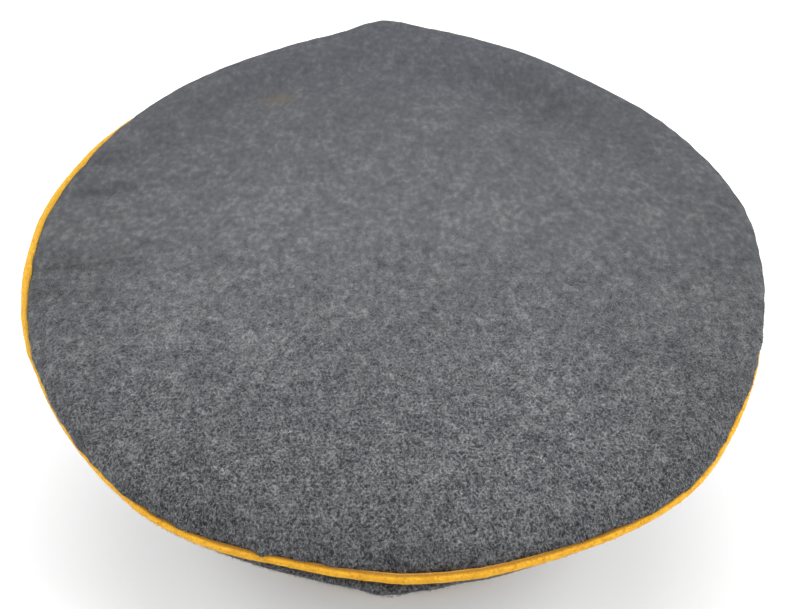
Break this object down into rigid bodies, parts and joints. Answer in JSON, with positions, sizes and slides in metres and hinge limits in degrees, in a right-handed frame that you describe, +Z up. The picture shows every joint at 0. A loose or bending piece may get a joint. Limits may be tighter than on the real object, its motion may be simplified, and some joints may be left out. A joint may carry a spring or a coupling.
{
  "type": "peaked cap",
  "caption": "Peaked cap with a flared cloth crown, piped seam, upright head band, glazed peak and a chin strap worn up.",
  "frame": {"origin": "on the table, under the middle of the cap's overall width and length", "axes": "+Z up, -Y towards the peak, +X towards the wearer's left"},
  "size_m": [0.2853, 0.2877, 0.1341],
  "materials": {
    "grey_cloth": "melange wool cloth, light and dark grey fibres",
    "yellow_cloth": "golden yellow felted wool cord",
    "black_ribbed": "black ribbed band cloth",
    "black_glazed": "black lacquered board",
    "black_leather": "black dressed leather",
    "black_enamel": "black enamelled steel",
    "grey_metal": "grained grey metal"
  },
  "bodies": {
    "root": {"crown_top": "grey_cloth", "panel_front_left": "grey_cloth", "panel_front_right": "grey_cloth", "panel_rear_left": "grey_cloth", "panel_rear_right": "grey_cloth", "crown_cord": "yellow_cloth", "band": "black_ribbed", "band_cord_upper": "yellow_cloth", "band_cord_lower": "yellow_cloth", "peak": "black_glazed", "chin_strap": "black_leather", "strap_slide_left": "black_enamel", "strap_slide_right": "black_enamel", "side_button_left": "grey_metal", "side_button_right": "grey_metal"}
  },
  "joints": []
}
